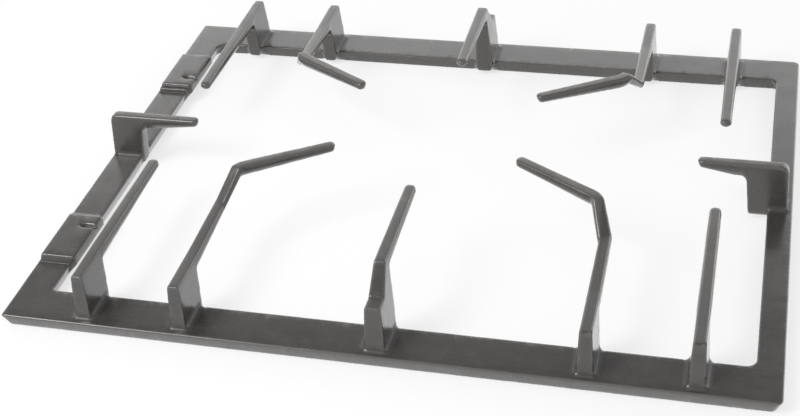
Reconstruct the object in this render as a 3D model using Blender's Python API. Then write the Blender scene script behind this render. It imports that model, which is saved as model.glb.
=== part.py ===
"""Cast iron pan support of a gas hob with one large burner in the middle.

One casting: a flat four-sided frame, twelve fingers that rise from it on drafted posts, and two
low saddles on the left bar. Six of the fingers step up to the height that carries the pan.
Units are metres, +Z is up and the origin is the middle of the underside.
"""
import math

import bmesh
import bpy
from mathutils import Vector

MM = 0.001

# Frame, seen from above with the narrow bar at +X
FRAME_WIDTH = 450.0 * MM
FRAME_DEPTH = 355.0 * MM
FRAME_THICKNESS = 9.0 * MM
LEFT_BAR = 21.3 * MM
RIGHT_BAR = 15.3 * MM
LONG_BAR = 27.6 * MM
FRAME_DRAFT = 2.8 * MM
EDGE_BREAK = 0.6 * MM
OUTER_CORNER_LEFT = 1.2 * MM
OUTER_CORNER_RIGHT = 3.8 * MM
INNER_CORNER_FRONT_LEFT = 3.0 * MM
INNER_CORNER_FRONT_RIGHT = 6.0 * MM
INNER_CORNER_BACK_RIGHT = 5.0 * MM
INNER_CORNER_BACK_LEFT = 7.0 * MM

# Heights of the finger tops above the frame's top face
LOW_HEIGHT = 28.7 * MM
SIDE_HEIGHT = 30.3 * MM
HIGH_HEIGHT = 45.1 * MM

# Section of a finger: flat top, broken edges, parting ridge, widest crease, narrow underside
ROOT_WIDTH = 7.0 * MM
TIP_WIDTH = 6.4 * MM
FINGER_EDGE = 0.7 * MM
RIDGE_DROP = 2.3 * MM
RIDGE_SWELL = 0.7 * MM
CREASE_DROP_ROOT = 4.8 * MM
CREASE_DROP_TIP = 3.1 * MM
CREASE_SWELL = 1.2 * MM
ROOT_DEPTH = 8.8 * MM
TIP_DEPTH = 5.2 * MM
UNDERSIDE_WIDTH = 4.4 * MM

# Posts that carry the fingers
POST_DRAFT = math.radians(2.9)
POST_OUTER_INSET = 7.8 * MM
POST_OUTER_LEAN = 3.3 * MM
POST_OVERHANG = 7.0 * MM
POST_INNER_LEAN = 2.8 * MM
POST_LIFT = 3.2 * MM
POST_TURN_UNDER = 3.6 * MM
TURN_UNDER_RUN = 1.2 * MM
THROAT_RADIUS = 4.0 * MM
COLLAR_WIDTH = 2.6 * MM
COLLAR_HEIGHT = 2.5 * MM
GUSSET_RADIUS = 4.6 * MM

# Where the fingers stand: the outer ones and the side ones from the opening's edges,
# the others from the burner's middle
OUTER_FINGER_FROM_SIDE = 29.8 * MM
INNER_FINGER_X = 117.3 * MM
OUTER_TIP_Y = 46.0 * MM
KINK_Y = 88.2 * MM
KINK_SKEW = 0.9
KINK_TAPER = 0.85
KINK_LIFT = 2.0 * MM
CORNER_X = 109.7 * MM
CORNER_Y = 67.3 * MM
CORNER_RADIUS = 10.0 * MM
CORNER_TAPER = 0.4
RISER_RAKE = 0.4 * MM
INNER_TIP_X = 57.3 * MM
INNER_TIP_Y = 35.7 * MM
NOSE_RAKE = 1.4 * MM
NOSE_DROP = 1.1 * MM
CENTRE_TIP_Y = 72.0 * MM
SHELF_WIDTH = 9.4 * MM
SHELF_LENGTH = 9.6 * MM
RISER_LENGTH = 12.0 * MM
LEFT_FINGER_REACH = 43.1 * MM
RIGHT_FINGER_REACH = 43.9 * MM
LEFT_WEB_INSET = 2.0 * MM
RIGHT_WEB_INSET = 4.5 * MM
LEFT_WEB_OVERHANG = 2.4 * MM
RIGHT_WEB_OVERHANG = 13.6 * MM
WEB_CORNER = 3.8 * MM
WEB_OUTER_LEAN = 1.7 * MM
WEB_INNER_LEAN = 2.0 * MM

# Saddles on the left bar
SADDLE_HEIGHT = 5.0 * MM
SADDLE_FROM_MIDDLE = 76.7 * MM
SADDLE_LENGTH = 49.0 * MM
SADDLE_OVERHANG = 3.9 * MM
SADDLE_EDGE = 1.7 * MM
SADDLE_INSET = 0.5 * MM
SADDLE_SIDE_DRAFT = 1.0 * MM
SADDLE_END_RUN = 1.8 * MM
SADDLE_LEDGE = 3.2 * MM
SADDLE_LEDGE_DROP = 2.0 * MM
NOTCH_FROM_END = 15.0 * MM
NOTCH_WIDTH = 4.6 * MM
NOTCH_LENGTH = 11.0 * MM
NOTCH_DEPTH = 2.4 * MM

# Fineness of round stretches, and how deep forms reach into the next or lie below its face
ARC_STEPS = 5
THROAT_TURNS = (12, 35, 58, 80)
NOSE_TURNS = (0, 25, 48, 68, 84)
SINK = 1.5 * MM
TUCK = 0.05 * MM

NAME = "pan_support"

HALF_WIDTH = FRAME_WIDTH / 2
HALF_DEPTH = FRAME_DEPTH / 2
OPENING_LEFT = -HALF_WIDTH + LEFT_BAR
OPENING_RIGHT = HALF_WIDTH - RIGHT_BAR
OPENING_Y = HALF_DEPTH - LONG_BAR
BURNER_X = (OPENING_LEFT + OPENING_RIGHT) / 2
OUTER_FINGER_X = OPENING_RIGHT - BURNER_X - OUTER_FINGER_FROM_SIDE
LOW_TOP = FRAME_THICKNESS + LOW_HEIGHT
SIDE_TOP = FRAME_THICKNESS + SIDE_HEIGHT
HIGH_TOP = FRAME_THICKNESS + HIGH_HEIGHT
POST_OUTER_Y = HALF_DEPTH - POST_OUTER_INSET
POST_INNER_Y = OPENING_Y - POST_OVERHANG
TURN_Z = POST_LIFT + POST_TURN_UNDER
LONG_BAR_POSTS = (-OUTER_FINGER_X, -INNER_FINGER_X, 0.0, INNER_FINGER_X, OUTER_FINGER_X)


def blend(a, b, t):
    return a + (b - a) * t


def new_collection(name):
    collection = bpy.data.collections.new(name)
    bpy.context.scene.collection.children.link(collection)
    return collection


def new_object(name, builder, collection):
    """Puts what a bmesh builder made into a new object."""
    mesh = bpy.data.meshes.new(name)
    bmesh.ops.recalc_face_normals(builder, faces=builder.faces)
    builder.to_mesh(mesh)
    builder.free()
    item = bpy.data.objects.new(name, mesh)
    collection.objects.link(item)
    return item


def loft(builder, rings):
    """Skins rings that have the same number of points and closes both ends."""
    made = [[builder.verts.new(point) for point in ring] for ring in rings]
    count = len(made[0])
    for low, high in zip(made, made[1:]):
        for i in range(count):
            j = (i + 1) % count
            builder.faces.new((low[i], low[j], high[j], high[i]))
    builder.faces.new(made[0])
    builder.faces.new(made[-1])


def arc(centre, radius, start, end, steps=ARC_STEPS):
    """Points of an arc in plan, angles in degrees."""
    angles = [math.radians(blend(start, end, i / steps)) for i in range(steps + 1)]
    return [(centre[0] + radius * math.cos(a), centre[1] + radius * math.sin(a)) for a in angles]


def rounded_rectangle(x0, x1, y0, y1, radii):
    """Outline with its corner radii in the order front left, front right, back right, back left."""
    front_left, front_right, back_right, back_left = radii
    return (arc((x0 + front_left, y0 + front_left), front_left, 180, 270)
            + arc((x1 - front_right, y0 + front_right), front_right, 270, 360)
            + arc((x1 - back_right, y1 - back_right), back_right, 0, 90)
            + arc((x0 + back_left, y1 - back_left), back_left, 90, 180))


def at_height(outline, z):
    return [Vector((x, y, z)) for x, y in outline]


def frame_blank(collection):
    """Solid plate with drafted sides, before its opening is cut."""
    radii = (OUTER_CORNER_LEFT, OUTER_CORNER_RIGHT, OUTER_CORNER_RIGHT, OUTER_CORNER_LEFT)

    def level(inset, z):
        return at_height(rounded_rectangle(-HALF_WIDTH + inset, HALF_WIDTH - inset,
                                           -HALF_DEPTH + inset, HALF_DEPTH - inset, radii), z)

    builder = bmesh.new()
    loft(builder, [level(FRAME_DRAFT, 0.0),
                   level(0.0, FRAME_THICKNESS - EDGE_BREAK),
                   level(EDGE_BREAK, FRAME_THICKNESS)])
    return new_object(NAME, builder, collection)


def opening_cutter(collection):
    """Opening of the frame: widest at the underside, with a broken edge at the top."""
    radii = (INNER_CORNER_FRONT_LEFT, INNER_CORNER_FRONT_RIGHT,
             INNER_CORNER_BACK_RIGHT, INNER_CORNER_BACK_LEFT)

    def level(growth, z):
        return at_height(rounded_rectangle(OPENING_LEFT - growth, OPENING_RIGHT + growth,
                                           -OPENING_Y - growth, OPENING_Y + growth, radii), z)

    slope = FRAME_DRAFT / (FRAME_THICKNESS - EDGE_BREAK)
    builder = bmesh.new()
    loft(builder, [level(FRAME_DRAFT + slope * SINK, -SINK),
                   level(0.0, FRAME_THICKNESS - EDGE_BREAK),
                   level(EDGE_BREAK + SINK, FRAME_THICKNESS + SINK)])
    return new_object("opening", builder, collection)


def section(centre, across, levels, lean=(0.0, 0.0)):
    """Ring of a finger or post: levels are (half width, height), from the top to the underside.

    The lean is how far the lowest level stands off in plan from the top one.
    """
    centre = Vector((centre[0], centre[1], 0.0))
    across = Vector((across[0], across[1], 0.0))
    lean = Vector((lean[0], lean[1], 0.0))
    top, bottom = levels[0][1], levels[-1][1]
    right, left = [], []
    for half, z in levels:
        base = centre + lean * ((top - z) / (top - bottom)) + Vector((0.0, 0.0, z))
        right.append(base + across * half)
        left.append(base - across * half)
    return right + left[::-1]


def beam_levels(top, along, narrow=1.0, rise=0.0):
    """Section of a free beam; along runs from 0 at the post to 1 at the tip."""
    half = blend(ROOT_WIDTH, TIP_WIDTH, along) / 2
    crease = blend(CREASE_DROP_ROOT, CREASE_DROP_TIP, along)
    depth = blend(blend(ROOT_DEPTH, TIP_DEPTH, along), crease + FINGER_EDGE, rise)
    return [((half - FINGER_EDGE) * narrow, top),
            (half * narrow, top - FINGER_EDGE),
            ((half + RIDGE_SWELL / 2) * narrow, top - RIDGE_DROP),
            ((half + CREASE_SWELL / 2) * narrow, top - crease),
            (UNDERSIDE_WIDTH / 2 * narrow, top - depth)]


def post_levels(top, half, slope):
    """Section of a post: it widens downward by its draft and turns under at the foot."""
    return [(half - FINGER_EDGE, top),
            (half, top - FINGER_EDGE),
            (half + RIDGE_DROP * slope, top - RIDGE_DROP),
            (half + (top - TURN_Z) * slope, TURN_Z),
            (half + (top - TURN_Z) * slope - TURN_UNDER_RUN, POST_LIFT)]


def throat_rings(inner, run, across, top, half, slope):
    """Round underside where the beam leaves the post at the plan point inner."""
    rings = []
    for turn in THROAT_TURNS:
        swing = math.sin(math.radians(turn))
        low = top - ROOT_DEPTH - THROAT_RADIUS * (1 - swing)
        reach = inner + run * THROAT_RADIUS * (1 - math.cos(math.radians(turn)))
        crease = top - CREASE_DROP_ROOT - (1 - swing) * THROAT_RADIUS / 2
        levels = [(half - FINGER_EDGE, top),
                  (half, top - FINGER_EDGE),
                  (half + blend(RIDGE_DROP * slope, RIDGE_SWELL / 2, swing), top - RIDGE_DROP),
                  (half + blend((top - crease) * slope, CREASE_SWELL / 2, swing), crease),
                  (blend(half + (top - low) * slope, UNDERSIDE_WIDTH / 2, swing ** 2), low)]
        rings.append(section(reach, across, levels))
    return rings


def nose_rings(tip, heading, across, top):
    """Rounded end of a finger in plan; its top rolls over and it rakes back below that."""
    rings = []
    for turn in NOSE_TURNS:
        angle = math.radians(turn)
        centre = tip - heading * (TIP_WIDTH / 2) * (1 - math.sin(angle))
        rolled = top - NOSE_DROP * math.sin(angle) ** 3
        levels = beam_levels(rolled, 1.0, math.cos(angle), math.sin(angle) ** 2)
        rings.append(section(centre, across, levels, -heading * NOSE_RAKE * math.sin(angle)))
    return rings


def corner_arc(before, corner, after, radius, steps=3):
    """Plan points and headings where a path turns a corner on an arc."""
    into = (corner - before).normalized()
    out = (after - corner).normalized()
    turn = math.atan2(into.x * out.y - into.y * out.x, into.dot(out))
    hand = math.copysign(1.0, turn)
    start = corner - into * radius * math.tan(abs(turn) / 2)
    centre = start + Vector((-into.y, into.x)) * hand * radius
    stops = []
    for i in range(steps + 1):
        angle = turn * i / steps
        heading = Vector((into.x * math.cos(angle) - into.y * math.sin(angle),
                          into.x * math.sin(angle) + into.y * math.cos(angle)))
        stops.append((centre + Vector((heading.y, -heading.x)) * hand * radius, heading))
    return stops


def long_bar_post(x, end, across):
    """Post on the front or back bar and the throat that leads into its low beam."""
    slope = math.tan(POST_DRAFT)
    levels = post_levels(LOW_TOP, ROOT_WIDTH / 2, slope)
    inner = Vector((x, end * POST_INNER_Y))
    rings = [section((x, end * POST_OUTER_Y), across, levels, (0.0, end * POST_OUTER_LEAN)),
             section(inner, across, levels, (0.0, end * POST_INNER_LEAN))]
    rings += throat_rings(inner, Vector((0.0, -end)), across, LOW_TOP, ROOT_WIDTH / 2, slope)
    root = Vector((x, end * (POST_INNER_Y - 2 * THROAT_RADIUS)))
    rings.append(section(root, across, beam_levels(LOW_TOP, 0.0)))
    return rings


def outer_finger(side, end):
    """Straight low finger near a corner of the opening."""
    x = BURNER_X + side * OUTER_FINGER_X
    across = Vector((1.0, 0.0))
    tip = Vector((x, end * OUTER_TIP_Y))
    return long_bar_post(x, end, across) + nose_rings(tip, Vector((0.0, -end)), across, LOW_TOP)


def inner_finger(side, end):
    """Finger that runs in from the bar, climbs at a kink and turns toward the burner."""
    def place(point):
        return Vector((BURNER_X + side * point[0], end * point[1]))

    def facing(heading):
        return Vector((-heading.y, side * end * heading.x))

    kink = Vector((INNER_FINGER_X, KINK_Y))
    corner = Vector((CORNER_X, CORNER_Y))
    tip = Vector((INNER_TIP_X, INNER_TIP_Y))
    rings = long_bar_post(BURNER_X + side * INNER_FINGER_X, end, Vector((1.0, 0.0)))
    skew = Vector((1.0, -side * end * KINK_SKEW))
    rake = (0.0, -end * RISER_RAKE)
    kink_top = LOW_TOP + KINK_LIFT
    rings.append(section(place(kink), skew, beam_levels(kink_top, KINK_TAPER), rake))
    for point, heading in corner_arc(kink, corner, tip, CORNER_RADIUS):
        rings.append(section(place(point), facing(heading), beam_levels(HIGH_TOP, CORNER_TAPER)))
    heading = (tip - corner).normalized()
    inward = Vector((side * heading.x, end * heading.y))
    return rings + nose_rings(place(tip), inward, facing(heading), HIGH_TOP)


def centre_finger(end):
    """Finger on the middle line: a wide shelf, a steep riser and a high beam."""
    across = Vector((1.0, 0.0))
    heading = Vector((0.0, -end))
    wide = post_levels(LOW_TOP, SHELF_WIDTH / 2, math.tan(POST_DRAFT))
    slope = (SHELF_WIDTH - ROOT_WIDTH) / 2 / (HIGH_TOP - LOW_TOP)
    tall = post_levels(HIGH_TOP, ROOT_WIDTH / 2, slope)[:3] + wide[3:]
    shelf_y = POST_OUTER_Y - SHELF_LENGTH
    riser_y = shelf_y - RISER_LENGTH
    inner = Vector((BURNER_X, end * POST_INNER_Y))
    rings = [section((BURNER_X, end * POST_OUTER_Y), across, wide, (0.0, end * POST_OUTER_LEAN)),
             section((BURNER_X, end * shelf_y), across, wide),
             section((BURNER_X, end * riser_y), across, tall),
             section(inner, across, tall, (0.0, end * POST_INNER_LEAN))]
    rings += throat_rings(inner, heading, across, HIGH_TOP, ROOT_WIDTH / 2, slope)
    root = Vector((BURNER_X, end * (POST_INNER_Y - 2 * THROAT_RADIUS)))
    rings.append(section(root, across, beam_levels(HIGH_TOP, 0.0)))
    tip = Vector((BURNER_X, end * CENTRE_TIP_Y))
    return rings + nose_rings(tip, heading, across, HIGH_TOP)


def side_finger(outer_x, inner_x, tip_x):
    """Low finger on the middle of a side bar, carried by a web across that bar."""
    side = math.copysign(1.0, outer_x)
    across = Vector((0.0, 1.0))
    slope = math.tan(POST_DRAFT)
    half = ROOT_WIDTH / 2
    levels = post_levels(SIDE_TOP, half, slope)
    lean_out = (side * WEB_OUTER_LEAN, 0.0)
    rings = []
    for turn in (0, 45, 90):
        drop = WEB_CORNER * (1 - math.sin(math.radians(turn)))
        x = outer_x - side * WEB_CORNER * (1 - math.cos(math.radians(turn)))
        lowered = [(width, z - drop) for width, z in levels[:3]] + levels[3:]
        rings.append(section((x, 0.0), across, lowered, lean_out))
    inner = Vector((inner_x, 0.0))
    rings.append(section(inner, across, levels, (side * WEB_INNER_LEAN, 0.0)))
    run = Vector((-side, 0.0))
    rings += throat_rings(inner, run, across, SIDE_TOP, half, slope)
    rings.append(section(inner + run * 2 * THROAT_RADIUS, across, beam_levels(SIDE_TOP, 0.0)))
    return rings + nose_rings(Vector((tip_x, 0.0)), run, across, SIDE_TOP)


def fingers(collection):
    """All twelve fingers with their posts."""
    builder = bmesh.new()
    for end in (-1, 1):
        for side in (-1, 1):
            loft(builder, outer_finger(side, end))
            loft(builder, inner_finger(side, end))
        loft(builder, centre_finger(end))
    loft(builder, side_finger(-HALF_WIDTH + LEFT_WEB_INSET, OPENING_LEFT + LEFT_WEB_OVERHANG,
                              OPENING_LEFT + LEFT_FINGER_REACH))
    loft(builder, side_finger(HALF_WIDTH - RIGHT_WEB_INSET, OPENING_RIGHT - RIGHT_WEB_OVERHANG,
                              OPENING_RIGHT - RIGHT_FINGER_REACH))
    return new_object("fingers", builder, collection)


def collar(builder, half, back, front, place):
    """Hollow-sided skirt round a foot; it dies out where the foot leaves the bar.

    Outline points are (sideways, out from the bar's inner top edge toward its outer one).
    """
    rings = []
    for spread, rise in ((0.0, 1.0), (0.12, 0.5), (0.45, 0.15), (1.0, 0.0), (1.0, -0.5)):
        grow = COLLAR_WIDTH * spread
        radius = grow * 0.8 + EDGE_BREAK
        outline = [(half - EDGE_BREAK, back), (half + grow, EDGE_BREAK)]
        outline += arc((half + grow - radius, front + grow - radius), radius, 0, 90)
        outline += [(-u, v) for u, v in reversed(outline)]
        rings.append([Vector((*place(u, v), FRAME_THICKNESS + COLLAR_HEIGHT * rise))
                      for u, v in outline])
    loft(builder, rings)


def foot_half_width(half_top):
    """Half the width of a post where its collar starts."""
    return half_top + (LOW_HEIGHT - COLLAR_HEIGHT) * math.tan(POST_DRAFT)


def collars(collection):
    """Skirts round the feet of the posts on the bars' top faces."""
    builder = bmesh.new()
    lean = POST_OUTER_LEAN * (LOW_HEIGHT - COLLAR_HEIGHT) / (LOW_TOP - POST_LIFT)
    front = POST_OUTER_Y + lean - OPENING_Y
    for end in (-1, 1):
        for x in LONG_BAR_POSTS:
            half = foot_half_width((ROOT_WIDTH if x else SHELF_WIDTH) / 2)
            collar(builder, half, POST_INNER_LEAN - POST_OVERHANG, front,
                   lambda u, v: (BURNER_X + x + u, end * (OPENING_Y + v)))
    half = foot_half_width(ROOT_WIDTH / 2)
    collar(builder, half, EDGE_BREAK, LEFT_BAR - LEFT_WEB_INSET - COLLAR_WIDTH / 2,
           lambda u, v: (OPENING_LEFT - v, u))
    collar(builder, half, -EDGE_BREAK, RIGHT_BAR - RIGHT_WEB_INSET,
           lambda u, v: (OPENING_RIGHT + v, u))
    return new_object("collars", builder, collection)


def gusset(builder, half, reach, place):
    """Round fillings, seen from above, between a foot and the inner face of its bar.

    Outline points are (sideways, out from the bar's inner top edge toward the burner).
    """
    full = FRAME_THICKNESS - EDGE_BREAK
    rings = []
    for inset, z in ((EDGE_BREAK, FRAME_THICKNESS - TUCK), (0.0, full), (EDGE_BREAK, TURN_Z),
                     (EDGE_BREAK + TURN_UNDER_RUN, POST_LIFT)):
        face = -EDGE_BREAK if z > full else -FRAME_DRAFT * (full - z) / full
        face -= TUCK
        radius = min(GUSSET_RADIUS + inset, reach - face - TUCK)
        middle = half - inset + radius
        outline = [(middle, face - SINK)] + arc((middle, face + radius), radius, 270, 180)
        outline += [(-u, v) for u, v in reversed(outline)]
        rings.append([Vector((*place(u, v), z)) for u, v in outline])
    heel = -FRAME_DRAFT - EDGE_BREAK
    buried = [(u, heel) for u, v in outline]
    buried[0] = (outline[0][0], heel - SINK)
    buried[-1] = (outline[-1][0], heel - SINK)
    rings.append([Vector((*place(u, v), EDGE_BREAK / 3)) for u, v in buried])
    loft(builder, rings)


def gussets(collection):
    builder = bmesh.new()
    for end in (-1, 1):
        for x in LONG_BAR_POSTS:
            half = foot_half_width((ROOT_WIDTH if x else SHELF_WIDTH) / 2)
            gusset(builder, half, POST_OVERHANG - POST_INNER_LEAN,
                   lambda u, v: (BURNER_X + x + u, end * (OPENING_Y - v)))
    return new_object("gussets", builder, collection)


def saddles(collection):
    """Low blocks on the left bar that overhang its inner edge."""
    top = FRAME_THICKNESS + SADDLE_HEIGHT
    ledge = top - SADDLE_LEDGE_DROP
    sunk = FRAME_THICKNESS - SINK / 2
    inner = SADDLE_FROM_MIDDLE
    outer = SADDLE_FROM_MIDDLE + SADDLE_LENGTH
    riser = SADDLE_END_RUN / 3
    stations = ((inner, sunk, 0.0),
                (inner + riser, ledge, 0.3),
                (inner + riser + SADDLE_LEDGE, ledge, 0.8),
                (inner + 2 * riser + SADDLE_LEDGE, top, 1.0),
                (outer - SADDLE_END_RUN, top, 1.0),
                (outer - riser, FRAME_THICKNESS + SADDLE_HEIGHT / 5, 0.35),
                (outer, sunk, 0.0))
    builder = bmesh.new()
    for end in (-1, 1):
        rings = []
        for y, height, overhang in stations:
            rise = max(height - FRAME_THICKNESS, 0.0) / SADDLE_HEIGHT
            left = -HALF_WIDTH + SADDLE_INSET + EDGE_BREAK
            face = OPENING_LEFT + SADDLE_OVERHANG * overhang
            edge = SADDLE_EDGE * rise
            profile = [(left, sunk - SINK / 5),
                       (left + SADDLE_SIDE_DRAFT * rise, height - EDGE_BREAK * rise),
                       (left + (SADDLE_SIDE_DRAFT + EDGE_BREAK) * rise, height),
                       (face - edge, height),
                       (face, height - edge),
                       (face, sunk - SINK / 5),
                       (OPENING_LEFT - FRAME_DRAFT, EDGE_BREAK),
                       (OPENING_LEFT - 2 * FRAME_DRAFT, EDGE_BREAK),
                       (OPENING_LEFT - 2 * FRAME_DRAFT, sunk - SINK / 5)]
            rings.append([Vector((x, end * y, z)) for x, z in profile])
        loft(builder, rings)
    return new_object("saddles", builder, collection)


def notches(collection):
    """Sloped cross cuts in the saddles, open toward the burner."""
    top = FRAME_THICKNESS + SADDLE_HEIGHT
    mouth = OPENING_LEFT + SADDLE_OVERHANG
    builder = bmesh.new()
    for end in (-1, 1):
        y = end * (SADDLE_FROM_MIDDLE + NOTCH_FROM_END)
        rings = []
        for x, depth in ((mouth + SINK, NOTCH_DEPTH), (mouth - NOTCH_LENGTH * 0.7, NOTCH_DEPTH),
                         (mouth - NOTCH_LENGTH, NOTCH_DEPTH / 4)):
            low = NOTCH_WIDTH / 4
            high = blend(low, NOTCH_WIDTH / 2, (depth + SINK) / NOTCH_DEPTH)
            rings.append([Vector((x, y - high, top + SINK)), Vector((x, y + high, top + SINK)),
                          Vector((x, y + low, top - depth)), Vector((x, y - low, top - depth))])
        loft(builder, rings)
    return new_object("notches", builder, collection)


def enamel():
    """Satin dark grey enamel over cast iron."""
    material = bpy.data.materials.new("enamelled_iron")
    material.use_nodes = True
    shader = material.node_tree.nodes["Principled BSDF"]
    shader.inputs["Base Color"].default_value = (0.045, 0.044, 0.043, 1.0)
    shader.inputs["Roughness"].default_value = 0.42
    return material


def main():
    for item in list(bpy.data.objects):
        bpy.data.objects.remove(item, do_unlink=True)
    parts = new_collection(NAME)
    cutters = new_collection("construction")
    support = frame_blank(parts)
    support.data.materials.append(enamel())
    tools = [(opening_cutter(cutters), "DIFFERENCE"), (saddles(cutters), "UNION"),
             (notches(cutters), "DIFFERENCE"), (gussets(cutters), "UNION"),
             (collars(cutters), "UNION"), (fingers(cutters), "UNION")]
    for tool, operation in tools:
        tool.hide_render = True
        tool.display_type = "WIRE"
        step = support.modifiers.new(tool.name, "BOOLEAN")
        step.operation = operation
        step.solver = "EXACT"
        step.object = tool


main()
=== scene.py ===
# %% [markdown]
# # A cast iron pan support
# This lesson dresses one casting: the support that stands on a gas hob over a single large
# burner. Its solid already gives every bar, post and finger. What is missing is what the foundry
# and the enamel shop add: soft edges, a slightly uneven skin, and a satin coat that is thinner on
# the edges. The real thing is one piece of iron, so it is one object here too.

# %% Load the solid
import math

import bmesh
import bpy
import numpy as np
from mathutils import Euler, Matrix, Vector


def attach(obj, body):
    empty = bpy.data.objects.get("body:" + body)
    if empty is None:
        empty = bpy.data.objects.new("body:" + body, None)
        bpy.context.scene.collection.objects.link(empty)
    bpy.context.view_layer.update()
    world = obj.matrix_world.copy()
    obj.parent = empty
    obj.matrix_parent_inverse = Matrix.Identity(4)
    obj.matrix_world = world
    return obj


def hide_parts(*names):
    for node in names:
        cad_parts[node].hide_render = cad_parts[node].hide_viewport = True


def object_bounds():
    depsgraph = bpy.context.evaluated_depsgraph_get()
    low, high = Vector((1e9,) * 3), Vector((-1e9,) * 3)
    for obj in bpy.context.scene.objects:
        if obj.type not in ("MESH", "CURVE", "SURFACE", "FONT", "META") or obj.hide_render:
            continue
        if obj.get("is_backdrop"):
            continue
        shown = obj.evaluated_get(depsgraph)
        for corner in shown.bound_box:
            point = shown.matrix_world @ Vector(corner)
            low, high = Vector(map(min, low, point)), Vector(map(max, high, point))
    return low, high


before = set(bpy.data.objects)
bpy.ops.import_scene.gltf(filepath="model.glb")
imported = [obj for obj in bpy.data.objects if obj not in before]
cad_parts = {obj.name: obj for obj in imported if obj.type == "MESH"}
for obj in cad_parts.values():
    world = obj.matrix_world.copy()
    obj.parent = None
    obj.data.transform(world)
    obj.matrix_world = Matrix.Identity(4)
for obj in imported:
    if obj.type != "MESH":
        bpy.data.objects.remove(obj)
cad_low, cad_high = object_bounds()
MM = 0.001
SOLID = "pan_support"
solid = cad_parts[SOLID]
print("solid, mm:", [round(v / MM, 1) for v in cad_high - cad_low])

# %% [markdown]
# ## The mould rounds every edge
# Sand can't hold a sharp edge, and enamel flows round what is left, so a real casting has no
# crisp corner. A bevel would be the usual tool, but it needs clean edge loops, and a solid that
# was joined from many forms has none. A voxel remesh builds one even skin over all of them, and a
# few rounds of smoothing then roll every edge and fillet every inner corner at once.
# The solid itself stays as it is, so the work is done on a copy. A long edge that lies almost
# along the rows of voxels comes out in steps. So the copy is turned askew first and turned back
# after, and every edge crosses the rows quickly.

# %% Helpers for the copy
WELD_REACH = 1e-6
SMOOTHING = 0.5


def baked(item):
    """The mesh of an object with its modifiers applied."""
    graph = bpy.context.evaluated_depsgraph_get()
    return bpy.data.meshes.new_from_object(item.evaluated_get(graph))


def welded_copy(item, name):
    """A copy whose split corners are joined again, so that it is one closed skin."""
    mesh = item.data.copy()
    builder = bmesh.new()
    builder.from_mesh(mesh)
    bmesh.ops.remove_doubles(builder, verts=builder.verts, dist=WELD_REACH)
    builder.to_mesh(mesh)
    builder.free()
    made = bpy.data.objects.new(name, mesh)
    bpy.context.scene.collection.objects.link(made)
    return made


def smooth(item, name, rounds, chosen=None):
    """Adds rounds of smoothing, on the chosen points alone if there are any."""
    modifier = item.modifiers.new(name, "SMOOTH")
    modifier.factor = SMOOTHING
    modifier.iterations = rounds
    if chosen is not None:
        group = item.vertex_groups.new(name=name)
        group.add(np.flatnonzero(chosen).tolist(), 1.0, "REPLACE")
        modifier.vertex_group = group.name


casting = welded_copy(solid, "cast_support")
print("copy of the solid, points:", len(casting.data.vertices))

# %% Skin the copy with voxels and smooth it
VOXEL = 0.5 * MM
EDGE_ROUNDS = 7
ASKEW = Euler((0.52, 0.37, 0.61)).to_matrix().to_4x4()

casting.data.transform(ASKEW)
skin = casting.modifiers.new("skin", "REMESH")
skin.mode = "VOXEL"
skin.voxel_size = VOXEL
smooth(casting, "rolled edges", EDGE_ROUNDS)
dense = baked(casting)
casting.modifiers.clear()
casting.data = dense
dense.transform(ASKEW.inverted())
print("skin voxel, mm:", round(VOXEL / MM, 2), "faces:", len(dense.polygons))

# %% [markdown]
# ## The roots of the posts are fuller
# Where a post stands on a bar the pattern maker leaves a fuller fillet, so that the iron can
# flow and the sand doesn't break. On the photo it is softer than any other edge. A fillet could
# be modelled for each post, but more rounds of the same smoothing make it too, as long as they
# work only near the posts. The posts are found from the skin itself: whatever stands well above
# the bars marks its cell in a plan of the casting, and the marks then grow a little. The outer
# edges of the bars keep their shape, so points close to the rim are left out.

# %% Find the roots of the posts
POST_BAND = (16 * MM, 22 * MM)
ROOT_REACH, ROOT_TOP = 4 * MM, 17 * MM
RIM_KEPT = 2.5 * MM
UNDERCUT_TOP, UNDERCUT_REACH = 6 * MM, 14 * MM
CELL = 1 * MM
MARGIN_CELLS = 8


def mesh_points(mesh):
    values = np.empty(len(mesh.vertices) * 3)
    mesh.vertices.foreach_get("co", values)
    return values.reshape(-1, 3)


points = mesh_points(casting.data)
plan_low, plan_high = np.array(cad_low)[:2], np.array(cad_high)[:2]
cells = np.floor((points[:, :2] - plan_low) / CELL).astype(int) + MARGIN_CELLS
plan = np.zeros(cells.max(axis=0) + MARGIN_CELLS + 1, dtype=bool)
standing = (points[:, 2] > POST_BAND[0]) & (points[:, 2] < POST_BAND[1])
plan[tuple(cells[standing].T)] = True
for _ in range(round(ROOT_REACH / CELL)):
    shifted = [np.roll(plan, step, axis) for axis in (0, 1) for step in (1, -1)]
    plan = np.logical_or.reduce([plan, *shifted])
near = plan[tuple(cells.T)]
rim = np.minimum(points[:, :2] - plan_low, plan_high - points[:, :2]).min(axis=1)
root = near & (points[:, 2] < ROOT_TOP) & (rim > RIM_KEPT)
root &= (points[:, 2] > UNDERCUT_TOP) | (rim > UNDERCUT_REACH)
print("points in the roots:", int(root.sum()), "of", len(points))

# %% [markdown]
# ## The outer ends of the rear posts are softer too
# At the back the posts' outer ends face away from the eye, and their top corners look worn round
# against the white. Five bevels of their own would do it, but the same smoothing, with its own
# group of points, takes no more than one line.

# %% Fill the roots and soften the rear ends
ROOT_ROUNDS = 40
END_ROUNDS = 30
END_LOW, END_Y = 20 * MM, 165 * MM

rear_end = (points[:, 2] > END_LOW) & (points[:, 1] > END_Y)
smooth(casting, "filled roots", ROOT_ROUNDS, root)
smooth(casting, "soft rear ends", END_ROUNDS, rear_end)
print("points in the rear ends:", int(rear_end.sum()))

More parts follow.
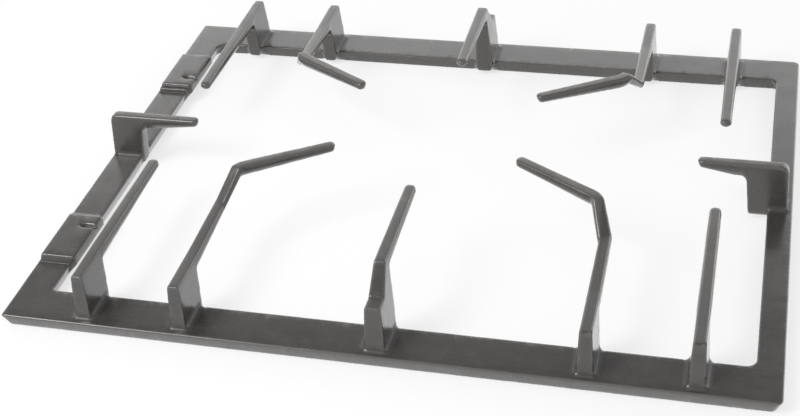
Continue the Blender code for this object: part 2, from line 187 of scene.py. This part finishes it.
# %% [markdown]
# ## The skin isn't quite flat
# Iron shrinks as it cools, so a bar's top waves by a tenth of a millimetre. That is enough to
# make a long highlight wander. A bump map alone would leave the outline ruler straight, so a
# displacement moves the mesh. It uses a cloud texture, which is the same at every run.

# %% Wave the skin
WAVE_WIDTH, WAVE_DEPTH = 22 * MM, 0.22 * MM
WAVE_DETAIL = 2

clouds = bpy.data.textures.new("shrinkage", "CLOUDS")
clouds.noise_scale = WAVE_WIDTH
clouds.noise_depth = WAVE_DETAIL
wave = casting.modifiers.new("shrinkage", "DISPLACE")
wave.texture = clouds
wave.strength = WAVE_DEPTH
wave.mid_level = 0.5
casting.data = baked(casting)
casting.modifiers.clear()
print("wave, mm:", round(WAVE_WIDTH / MM, 1), "wide,", round(WAVE_DEPTH / MM, 2), "deep")

# %% [markdown]
# ## Two dents where the enamel ran off
# On the two right front posts the picture shows a short dark line across the top edge, where the
# wet coat ran off a dent in the casting. A boolean cut would leave a sharp rim, so the dent is
# pressed in: points near a chosen place move into the iron, most in the middle and not at all at
# its rim. The dent is wider than the finger, so it crosses the whole edge. The posts are found
# from the skin, from left to right.

# %% Press the two dents
# The dark line over each dent is the groove's own shade, deepened by the painted shade of the
# hollows.
DENTED_POSTS = 2
DENT_HALF = np.array((6.0, 1.5, 1.8)) * MM
DENT_DEPTH = 1.5 * MM
DENT_FADE = 1.5
DENT_WAY = np.array(Vector((0.0, 0.55, -0.84)))
DENT_BEHIND_FACE, DENT_BELOW_TOP = 0.6 * MM, 0.3 * MM
FRONT_END = -160 * MM
POST_GAP, POST_HALF, TOP_BAND = 10 * MM, 8 * MM, 2 * MM

points = mesh_points(casting.data)
front_ends = points[(points[:, 1] < FRONT_END) & (points[:, 2] > POST_BAND[1])]
order = np.sort(front_ends[:, 0])
breaks = np.flatnonzero(np.diff(order) > POST_GAP) + 1
for xs in np.split(order, breaks)[-DENTED_POSTS:]:
    here = front_ends[np.abs(front_ends[:, 0] - xs.mean()) < POST_HALF]
    top = here[:, 2].max()
    face = here[here[:, 2] > top - TOP_BAND][:, 1].min()
    place = np.array((xs.mean(), face + DENT_BEHIND_FACE, top - DENT_BELOW_TOP))
    away = (((points - place) / DENT_HALF) ** 2).sum(axis=1)
    depth = DENT_DEPTH * np.clip(1 - away, 0, 1) ** DENT_FADE
    points += depth[:, None] * DENT_WAY
    print("dent at, mm:", np.round(place / MM, 1), "points:", int((depth > 0).sum()))
casting.data.vertices.foreach_set("co", points.ravel())

# %% [markdown]
# ## Where the coat is thin, where it pools, and where light and shade are painted
# Wet enamel draws back from an outer edge and gathers in an inner corner, and the shader paints a
# highlight on the edges and shade in the corners as well. It needs to know which is which. The
# pointiness of the Geometry node could tell, but it changes with the size of the triangles. So
# each point is compared with the mean of its neighbours, a few rounds wide: on an edge the point
# stands out of that mean, and in a corner it lies under it. The result is stored on the mesh, so
# it stays with the surface from every side.

# %% Measure edges and hollows
REACH_ROUNDS, CALM_ROUNDS = 8, 2
REACH_DEPTH = 0.12 * MM

mesh = casting.data
edges = np.empty(len(mesh.edges) * 2, dtype=np.int64)
mesh.edges.foreach_get("vertices", edges)
first, second = edges.reshape(-1, 2).T
count = np.bincount(edges, minlength=len(points)).astype(float)


def neighbour_mean(values):
    """Each row halfway to the mean of the rows that its edges lead to."""
    total = np.zeros_like(values)
    for axis in range(values.shape[1]):
        total[:, axis] += np.bincount(first, values[second, axis], len(values))
        total[:, axis] += np.bincount(second, values[first, axis], len(values))
    return (values + total / count[:, None]) / 2


normals = np.empty(len(points) * 3)
mesh.vertex_normals.foreach_get("vector", normals)
normals = normals.reshape(-1, 3)
calm = points.copy()
for _ in range(REACH_ROUNDS):
    calm = neighbour_mean(calm)
stand_out = ((points - calm) * normals).sum(axis=1)[:, None] / REACH_DEPTH
for _ in range(CALM_ROUNDS):
    stand_out = neighbour_mean(stand_out)
curve = mesh.attributes.new("curve", "FLOAT", "POINT")
curve.data.foreach_set("value", np.clip(stand_out.ravel(), -1, 1))
print("stand out, share of points over a half:", round(float((stand_out > 0.5).mean()), 3))

# %% [markdown]
# ## Thin the mesh
# An even skin spends most of its points on flat iron. Collapsing the edges that matter least
# keeps the points where the surface bends, which a coarser voxel would lose. It comes after the
# steps above, because they need a skin whose points lie evenly. The skin's faces have four
# corners, so each counts as two triangles.

# %% Thin the mesh
TRIANGLES = 190000

quads = len(mesh.polygons)
thin = casting.modifiers.new("thin", "DECIMATE")
thin.ratio = TRIANGLES / (2 * quads)
casting.data = baked(casting)
casting.modifiers.clear()
casting.data.shade_smooth()
casting.data.calc_loop_triangles()
print("faces:", quads, "thinned to triangles:", len(casting.data.loop_triangles))
print("curve kept:", "curve" in casting.data.attributes)

# %% [markdown]
# ## Drop loose bits
# Where two forms of the solid meet almost face to face, the voxels can leave a bubble inside the
# iron. It can't be seen, but a closed skin should be one piece. Separating by loose parts would
# find it by hand. Here a walk along the edges collects each connected piece, and only the largest
# one stays.

# %% Drop loose bits
builder = bmesh.new()
builder.from_mesh(casting.data)
unseen = set(builder.verts)
islands = []
while unseen:
    reach = [unseen.pop()]
    island = list(reach)
    while reach:
        vert = reach.pop()
        beside = [link.other_vert(vert) for link in vert.link_edges]
        fresh = [other for other in beside if other in unseen]
        unseen.difference_update(fresh)
        reach += fresh
        island += fresh
    islands.append(island)
islands.sort(key=len)
loose = [vert for island in islands[:-1] for vert in island]
bmesh.ops.delete(builder, geom=loose, context="VERTS")
builder.to_mesh(casting.data)
builder.free()
print("pieces found:", len(islands), "loose points dropped:", len(loose))

# %% [markdown]
# ## Keep it inside the solid's box
# The wave may lift a point past the size that the solid states. The tops of the fingers and
# the underside are where a pan and the hob touch, so each point is brought back into the box.

# %% Trim to the box
points = np.clip(mesh_points(casting.data), np.array(cad_low), np.array(cad_high))
casting.data.vertices.foreach_set("co", points.ravel())
casting.data.update()
print("trimmed box, mm:", np.round(np.ptp(points, axis=0) / MM, 2))

# %% [markdown]
# ## A short hand for shader nodes
# The finish is mixed from many small nodes. Placing them by hand in the editor would do, but a
# script with a few helpers says the same in a form that can be read from top to bottom.

# %% A short hand for shader nodes
class Nodes:
    """Adds and joins the nodes of one material."""

    def __init__(self, material):
        material.use_nodes = True
        self.tree = material.node_tree
        self.shader = self.tree.nodes.get("Principled BSDF")

    def add(self, kind, **values):
        node = self.tree.nodes.new(kind)
        for key, value in values.items():
            setattr(node, key, value)
        return node

    def join(self, output, target):
        self.tree.links.new(output, target)

    def feed(self, value, target):
        """Joins a socket, or writes a plain value on the target itself."""
        if isinstance(value, (float, tuple)):
            target.default_value = value
        else:
            self.join(value, target)

    def noise(self, scale, detail=3.0, roughness=0.55, stretch=(1, 1, 1)):
        """Noise whose scale is in features per metre; a stretch packs it along an axis."""
        place = self.add("ShaderNodeTexCoord")
        node = self.add("ShaderNodeTexNoise")
        pull = self.add("ShaderNodeMapping")
        pull.inputs["Scale"].default_value = stretch
        node.inputs["Scale"].default_value = scale
        node.inputs["Detail"].default_value = detail
        node.inputs["Roughness"].default_value = roughness
        self.join(place.outputs["Object"], pull.inputs["Vector"])
        self.join(pull.outputs[0], node.inputs["Vector"])
        return node.outputs["Fac"]

    def axis(self, output, name):
        """One axis of the place or the normal, in the object's own frame."""
        split = self.add("ShaderNodeSeparateXYZ")
        self.join(self.add("ShaderNodeTexCoord").outputs[output], split.inputs[0])
        return split.outputs[name]

    def span(self, value, low, high, to_low=0.0, to_high=1.0):
        """Stretches the part of a value between two marks to another span."""
        node = self.add("ShaderNodeMapRange")
        self.join(value, node.inputs["Value"])
        node.inputs["From Min"].default_value = low
        node.inputs["From Max"].default_value = high
        node.inputs["To Min"].default_value = to_low
        node.inputs["To Max"].default_value = to_high
        return node.outputs["Result"]

    def blend(self, factor, a, b):
        """Mixes two colours, which go to sockets 6 and 7 of a Mix node and come out of 2."""
        node = self.add("ShaderNodeMix", data_type="RGBA")
        self.join(factor, node.inputs["Factor"])
        self.feed(a, node.inputs[6])
        self.feed(b, node.inputs[7])
        return node.outputs[2]

    def combine(self, operation, a, b=0.0):
        node = self.add("ShaderNodeMath", operation=operation)
        self.feed(a, node.inputs[0])
        self.feed(b, node.inputs[1])
        return node.outputs[0]

    def bump(self, height, strength, distance, below=None):
        node = self.add("ShaderNodeBump")
        self.feed(strength, node.inputs["Strength"])
        self.feed(distance, node.inputs["Distance"])
        self.join(height, node.inputs["Height"])
        if below is not None:
            self.join(below, node.inputs["Normal"])
        return node.outputs["Normal"]


enamel = bpy.data.materials.new("enamelled_iron")
kit = Nodes(enamel)
print("material made:", enamel.name)

# %% [markdown]
# ## Satin enamel over sand-cast iron
# The coat is a dark grey vitreous enamel. It is a dielectric, not a metal, so the shader's
# metallic value stays at zero and the light parts of the picture come from its gloss. One flat
# grey would look like plastic. Three patterns break it: cloudy patches from the firing, a fine
# speckle, and streaks along each bar, where the coat ran as it hung to dry. The side bars run
# along Y and the long ones along X, so the streaks turn where the long bars begin. A noise keeps
# near its middle, so only a window of its values is spread over the whole span.

# %% Mottle the enamel
ENAMEL_DARK = (0.031, 0.0281, 0.0264, 1.0)
ENAMEL_LIGHT = (0.056, 0.0507, 0.0476, 1.0)
PATCHES_PER_M, SPECKS_PER_M = 55.0, 900.0
NOISE_WINDOW, PATCH_WINDOW = (0.3, 0.7), (0.35, 0.65)
SPECK_ROUGHNESS, STREAK_ROUGHNESS = 0.7, 0.6
ALONG_PER_M, ACROSS_PER_M = 11, 260
LONG_BARS_FROM, SIDE_BARS_TO = 152 * MM, 148 * MM
SPECKLE_SHARE, PATCH_SHARE, STREAK_SHARE = 0.25, 0.40, 0.35

patches = kit.span(kit.noise(PATCHES_PER_M), *PATCH_WINDOW)
speckle = kit.span(kit.noise(SPECKS_PER_M, roughness=SPECK_ROUGHNESS), *NOISE_WINDOW)
from_middle = kit.combine("ABSOLUTE", kit.axis("Object", "Y"))
on_side = kit.span(from_middle, LONG_BARS_FROM, SIDE_BARS_TO)
streaks = kit.add("ShaderNodeMix", data_type="FLOAT")
kit.join(on_side, streaks.inputs["Factor"])
along_x = (ALONG_PER_M, ACROSS_PER_M, ACROSS_PER_M)
along_y = (ACROSS_PER_M, ALONG_PER_M, ACROSS_PER_M)
for index, stretch in ((2, along_x), (3, along_y)):
    lines = kit.noise(1.0, roughness=STREAK_ROUGHNESS, stretch=stretch)
    kit.join(lines, streaks.inputs[index])
streak = kit.span(streaks.outputs[0], *NOISE_WINDOW)
mottle = kit.combine("ADD", kit.combine("MULTIPLY", speckle, SPECKLE_SHARE),
                     kit.combine("MULTIPLY", patches, PATCH_SHARE))
mottle = kit.combine("ADD", mottle, kit.combine("MULTIPLY", streak, STREAK_SHARE))
colour = kit.blend(mottle, ENAMEL_DARK, ENAMEL_LIGHT)
print("enamel greys:", ENAMEL_DARK[0], "to", ENAMEL_LIGHT[0])

# %% [markdown]
# ## Edges, finger tops and hollows, with painted highlight, sheen and shade
# The measured curve now tells where the thin coat looks lighter and where it has pooled dark. On
# the edges the lighter grey is also a painted highlight, and in the hollows the darker grey is
# also painted shade. The upward finger tops get lighter specks, partly wear where pans slide on
# them and partly a painted sheen. They are found by height and by the way they face, both in the
# object's own frame, so the finish doesn't slide when the view turns.

# %% Colour the edges, tops and pools, with painted highlight, sheen and shade
# Lighter grey for the edges: a thin coat, with a painted highlight along them.
ENAMEL_THIN_EDGE_AND_HIGHLIGHT = (0.078, 0.0711, 0.0668, 1.0)
# Lighter grey for the upward finger tops: wear, with a painted sheen.
ENAMEL_WEAR_AND_SHEEN = (0.078, 0.0720, 0.0682, 1.0)
# Darker grey for the hollows: pooled coat, with painted shade.
ENAMEL_POOL_AND_SHADE = (0.023, 0.0215, 0.0205, 1.0)
EDGE_HIGHLIGHT_FROM, EDGE_HIGHLIGHT_FULL = 0.35, 1.1
EDGE_SPECKLE = 0.25
POOL_SHADE_FROM, POOL_SHADE_FULL = -0.25, -0.9
FACING_UP_FROM, FACING_UP_FULL = 0.6, 0.9
FINGER_TOPS_FROM, FINGER_TOPS_FULL = 26 * MM, 30 * MM
WEAR_AND_SHEEN_WINDOW = (-0.6, 1.0)

curve_value = kit.add("ShaderNodeAttribute", attribute_name="curve").outputs["Fac"]
ragged = kit.combine("ADD", curve_value, kit.combine("MULTIPLY", speckle, EDGE_SPECKLE))
# The edges get the lighter grey: thin coat and painted highlight.
thin_edge_and_highlight = kit.span(ragged, EDGE_HIGHLIGHT_FROM, EDGE_HIGHLIGHT_FULL)
colour = kit.blend(thin_edge_and_highlight, colour, ENAMEL_THIN_EDGE_AND_HIGHLIGHT)
up = kit.span(kit.axis("Normal", "Z"), FACING_UP_FROM, FACING_UP_FULL)
high = kit.span(kit.axis("Object", "Z"), FINGER_TOPS_FROM, FINGER_TOPS_FULL)
wear_and_sheen_specks = kit.span(speckle, *WEAR_AND_SHEEN_WINDOW)
# Upward-facing finger tops get lighter specks: wear and a painted sheen.
wear_and_sheen = kit.combine("MULTIPLY", kit.combine("MULTIPLY", up, high), wear_and_sheen_specks)
colour = kit.blend(wear_and_sheen, colour, ENAMEL_WEAR_AND_SHEEN)
# Hollows, fillets and dents get the darker grey: pooled coat and painted shade.
pool_and_shade = kit.span(curve_value, POOL_SHADE_FROM, POOL_SHADE_FULL)
colour = kit.blend(pool_and_shade, colour, ENAMEL_POOL_AND_SHADE)
kit.join(colour, kit.shader.inputs["Base Color"])
print("edge and pool greys:", ENAMEL_THIN_EDGE_AND_HIGHLIGHT[0], ENAMEL_POOL_AND_SHADE[0])

# %% [markdown]
# ## Gloss
# Fired enamel is glass over a rougher ground, so it has two layers of gloss: the shader's own,
# which varies with the firing, and a clear coat on top, which gives the bright faces their even
# sheen at a flat angle. A single rough gloss would be too dull there. An edge is smoother, a
# rubbed top is duller, and in the inner corners the coat is matt, so that no sharp line shines
# out of a fillet.

# %% Gloss of the enamel
ENAMEL_IOR = COAT_IOR = 1.5
COAT_ROUGHNESS = 0.2
COAT_WEIGHT, COAT_IN_HOLLOWS = 0.7, 0.12
HOLLOW_FROM, HOLLOW_FULL = -0.05, -0.45
FIRING_PER_M = 130.0
SMOOTHEST, ROUGHEST = 0.20, 0.29
EDGE_SHINE, RUBBED_DULL, HOLLOW_DULL = 0.06, 0.22, 0.22

hollow = kit.span(curve_value, HOLLOW_FROM, HOLLOW_FULL)
coat = kit.span(hollow, 0.0, 1.0, COAT_WEIGHT, COAT_IN_HOLLOWS)
kit.join(coat, kit.shader.inputs["Coat Weight"])
kit.shader.inputs["IOR"].default_value = ENAMEL_IOR
kit.shader.inputs["Coat IOR"].default_value = COAT_IOR
kit.shader.inputs["Coat Roughness"].default_value = COAT_ROUGHNESS
rough = kit.span(kit.noise(FIRING_PER_M), *NOISE_WINDOW, SMOOTHEST, ROUGHEST)
for operation, where, change in (("SUBTRACT", thin_edge_and_highlight, EDGE_SHINE), ("ADD", wear_and_sheen, RUBBED_DULL),
                                 ("ADD", hollow, HOLLOW_DULL)):
    rough = kit.combine(operation, rough, kit.combine("MULTIPLY", where, change))
kit.join(rough, kit.shader.inputs["Roughness"])
print("roughness:", SMOOTHEST, "to", ROUGHEST, "coat:", COAT_WEIGHT)

# %% [markdown]
# ## Grain
# A finger can feel a grain that the mesh can't carry: sand grains under the coat and the coat's
# own orange peel. Both are bump, since they are a few hundredths of a millimetre high. The tops
# of the bars lie flat while the coat dries, so the enamel levels out there and the grain is
# weaker.

# %% Grain of the enamel
GRAINS_PER_M, GRAIN_ROUGHNESS, GRAIN_HEIGHT = 700.0, 0.6, 0.16 * MM
GRAIN_STRENGTH, GRAIN_ON_BARS = 0.5, 0.2
PEEL_PER_M, PEEL_ROUGHNESS, PEEL_DETAIL = 2600.0, 0.5, 2.0
PEEL_HEIGHT, PEEL_STRENGTH = 0.04 * MM, 0.35
BAR_TOPS_TO, BAR_TOPS_FROM = 12 * MM, 9.8 * MM

low_down = kit.span(kit.axis("Object", "Z"), BAR_TOPS_TO, BAR_TOPS_FROM)
bar_top = kit.combine("MULTIPLY", up, low_down)
grain_strength = kit.span(bar_top, 0.0, 1.0, GRAIN_STRENGTH, GRAIN_ON_BARS)
grain_noise = kit.noise(GRAINS_PER_M, roughness=GRAIN_ROUGHNESS)
grains = kit.bump(grain_noise, grain_strength, GRAIN_HEIGHT)
peel_noise = kit.noise(PEEL_PER_M, PEEL_DETAIL, PEEL_ROUGHNESS)
peel = kit.bump(peel_noise, PEEL_STRENGTH, PEEL_HEIGHT, grains)
kit.join(peel, kit.shader.inputs["Normal"])
casting.data.materials.clear()
casting.data.materials.append(enamel)
print("nodes in the enamel:", len(enamel.node_tree.nodes))

# %% [markdown]
# ## Hand the casting over
# The new skin stands for the solid and hangs from the root body, with the enamel as its finish.
# The solid is hidden but kept, and it gets the same enamel on its own slots.

# %% Hang the casting from the root body
for slot in solid.material_slots:
    slot.link = "OBJECT"
    slot.material = enamel
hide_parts(SOLID)
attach(casting, "root")
print(casting.name, "stands for", SOLID)

# %% [markdown]
# ## Floor
# The picture is a cut-out on white. A bright lamp on the floor would give that too, but it would
# also change the light on the iron. So the floor is white paper, which throws light up under the
# fingers as a table does, and most of what the camera sees of it is its own even white. The rest
# carries the soft faint shadow. Reflections see it white as well.

# %% Floor
FLOOR_SIZE = 30.0
FLOOR_DROP = 0.05 * MM
FLOOR_WHITE, FLOOR_ROUGHNESS = 0.92, 0.9
SHADOW_SHARE = 0.3

bpy.ops.mesh.primitive_plane_add(size=FLOOR_SIZE, location=(0, 0, cad_low.z - FLOOR_DROP))
floor = bpy.context.object
floor.name = "floor"
floor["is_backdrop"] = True
paper = bpy.data.materials.new("white_floor")
kit = Nodes(paper)
kit.shader.inputs["Base Color"].default_value = (FLOOR_WHITE, FLOOR_WHITE, FLOOR_WHITE, 1)
kit.shader.inputs["Roughness"].default_value = FLOOR_ROUGHNESS
kit.shader.inputs["Specular IOR Level"].default_value = 0.0
glow = kit.add("ShaderNodeEmission")
mix = kit.add("ShaderNodeMixShader")
path = kit.add("ShaderNodeLightPath")
seen = kit.combine("MULTIPLY", path.outputs["Is Camera Ray"], 1 - SHADOW_SHARE)
for ray in ("Is Glossy Ray", "Is Transmission Ray"):
    seen = kit.combine("MAXIMUM", seen, path.outputs[ray])
kit.join(seen, mix.inputs[0])
kit.join(kit.shader.outputs[0], mix.inputs[1])
kit.join(glow.outputs[0], mix.inputs[2])
kit.join(mix.outputs[0], kit.tree.nodes["Material Output"].inputs["Surface"])
floor.data.materials.append(paper)
print("floor white:", FLOOR_WHITE, "share that takes shadow:", SHADOW_SHARE)

# %% [markdown]
# ## Walls and ceiling
# Satin enamel shows whatever stands around it. In the picture the upright faces are light and the
# near tops are dark, so the room has white walls and a dim ceiling. A world whose strength falls
# smoothly with height is such a room, without any walls to build.

# %% Walls and ceiling
WALL_LIGHT, CEILING_LIGHT = 1.0, 0.34
WALL_TOP, CEILING_START = 0.20, 0.70

world = bpy.data.worlds.new("studio")
bpy.context.scene.world = world
world.use_nodes = True
tree = world.node_tree
direction = tree.nodes.new("ShaderNodeTexCoord")
parts = tree.nodes.new("ShaderNodeSeparateXYZ")
fall = tree.nodes.new("ShaderNodeMapRange")
fall.interpolation_type = "SMOOTHSTEP"
fall.inputs["From Min"].default_value = WALL_TOP
fall.inputs["From Max"].default_value = CEILING_START
fall.inputs["To Min"].default_value = WALL_LIGHT
fall.inputs["To Max"].default_value = CEILING_LIGHT
tree.links.new(direction.outputs["Generated"], parts.inputs[0])
tree.links.new(parts.outputs["Z"], fall.inputs["Value"])
tree.links.new(fall.outputs["Result"], tree.nodes["Background"].inputs["Strength"])
tree.nodes["Background"].inputs["Color"].default_value = (1, 1, 1, 1)
print("walls and ceiling:", WALL_LIGHT, CEILING_LIGHT)

# %% [markdown]
# ## Studio lamps
# The tops of the rear bars are light and the tops of the near ones dark, which says that a low
# wide source stands behind the object: its reflection meets the eye only at a flat angle. The
# right sides of the posts are the lightest faces, so a second wide source stands behind at the
# right. A large weak one overhead fills the rest, and a small one at the front left draws the
# thin bright lines on the left edges. All are rectangles, as soft boxes are, and weak enough
# that a colour renders about as it is written.

# %% Lamps
LAMP_AIM = Vector((0, 0, 0.02))
LAMPS = {
    "back": ((-0.15, 2.2, 0.80), 3.0, 1.5, 12.0),
    "right": ((1.8, 1.5, 0.5), 2.0, 1.0, 9.0),
    "top": ((-0.3, -0.6, 2.4), 2.5, 2.5, 12.0),
    "key": ((-0.95, -0.85, 1.25), 0.75, 0.75, 18.0),
}

for name, (place, width, height, power) in LAMPS.items():
    light = bpy.data.lights.new(name, "AREA")
    light.shape = "RECTANGLE"
    light.size = width
    light.size_y = height
    light.energy = power
    lamp = bpy.data.objects.new(name, light)
    lamp.location = place
    lamp.rotation_euler = (LAMP_AIM - Vector(place)).to_track_quat("-Z", "Y").to_euler()
    bpy.context.scene.collection.objects.link(lamp)
    print("lamp", name, power, "W")

# %% [markdown]
# ## Camera
# The place and angles come from the frame's straight edges in the picture: two families of
# parallel bars fix the horizon and the lens, and the frame's size fixes the distance. Turning a
# camera by eye would never bring all four bars onto their places at once.

# %% Camera
LENS, SENSOR = 65.383, 36.0
YAW, PITCH, ROLL = 0.2873, 0.6238, -0.0812
EYE = Vector((0.196314, -0.753703, 0.546552))
NEAREST_SEEN = 0.01

flat = math.cos(PITCH)
ahead = Vector((-math.sin(YAW) * flat, math.cos(YAW) * flat, -math.sin(PITCH)))
level = Vector((math.cos(YAW), math.sin(YAW), 0))
upward = level.cross(ahead)
side = math.cos(ROLL) * level + math.sin(ROLL) * upward
above = math.cos(ROLL) * upward - math.sin(ROLL) * level
matrix = Matrix((side, above, -ahead)).transposed().to_4x4()
matrix.translation = EYE
optics = bpy.data.cameras.new("camera")
optics.lens = LENS
optics.sensor_width = SENSOR
optics.sensor_fit = "HORIZONTAL"
optics.clip_start = NEAREST_SEEN
camera = bpy.data.objects.new("camera", optics)
camera.matrix_world = matrix
bpy.context.scene.collection.objects.link(camera)
bpy.context.scene.camera = camera
print("camera looks down by", round(math.degrees(PITCH), 1), "degrees")

# %% [markdown]
# ## Finish
# The picture keeps plain colours, so the view transform is Standard. The box of what is seen is
# printed, to set beside the box of the solid printed at the start and show that the skin hasn't
# grown.

# %% Finish
bpy.context.scene.view_settings.view_transform = "Standard"
low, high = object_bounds()
print("visual box, mm:", [round(v / MM, 2) for v in high - low])
